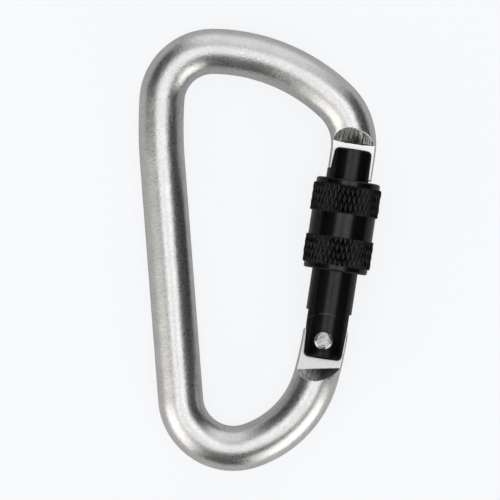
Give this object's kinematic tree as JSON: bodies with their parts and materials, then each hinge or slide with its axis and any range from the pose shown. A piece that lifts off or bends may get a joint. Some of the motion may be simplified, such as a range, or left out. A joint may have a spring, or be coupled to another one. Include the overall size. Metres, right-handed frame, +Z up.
{
  "type": "screw-lock carabiner",
  "caption": "D-shaped accessory carabiner of round bar, with a sprung pivoting gate and a knurled screw-lock sleeve.",
  "frame": {"origin": "under the middle of the bounding box, on the surface that the carabiner lies on", "axes": "+Y along the spine towards the nose end, +X from the spine towards the gate, +Z up out of the carabiner's plane"},
  "size_m": [0.0425, 0.0788, 0.0123],
  "materials": {
    "bar_silver": "fine blasted and tumbled aluminium bar, tabs milled bright",
    "gate_black": "satin black anodised aluminium",
    "sleeve_black": "satin black anodised aluminium with diamond knurl",
    "rivet_steel": "peened bright steel",
    "spring_steel": "drawn spring wire",
    "plunger_steel": "turned steel",
    "ring_rubber": "matt black rubber"
  },
  "bodies": {
    "frame": {"body": "bar_silver", "hinge_rivet": "rivet_steel"},
    "gate": {"gate": "gate_black", "gate_spring": "spring_steel"},
    "plunger": {"spring_plunger": "plunger_steel"},
    "ring": {"drag_ring": "ring_rubber"},
    "sleeve": {"lock_sleeve": "sleeve_black"}
  },
  "joints": [
    {"name": "gate_hinge", "type": "hinge", "parent": "frame", "child": "gate", "pos_m": [0.00875, -0.01734, 0.00613], "axis": [0, 0, 1], "range_deg": [0, 28], "stiffness_Nm_per_rad": 0.1, "springref_deg": -34.38},
    {"name": "plunger_slide", "type": "slide", "parent": "gate", "child": "plunger", "axis": [0.225, 0.9744, 0], "range_m": [0, 0.00088], "deforming": ["gate_spring"]},
    {"name": "sleeve_travel", "type": "slide", "parent": "gate", "child": "ring", "axis": [0.225, 0.9744, 0], "range_m": [0, 0.0062]},
    {"name": "sleeve_turn", "type": "hinge", "parent": "ring", "child": "sleeve", "pos_m": [0.00905, -0.01741, 0.00613], "axis": [0.225, 0.9744, 0], "range_deg": [0, 1441]}
  ],
  "couplings": [
    {"joint": "plunger_slide", "follows": "gate_hinge", "m_per_rad": 0.0017803},
    {"joint": "sleeve_turn", "follows": "sleeve_travel", "rad_per_m": 4053.7}
  ]
}
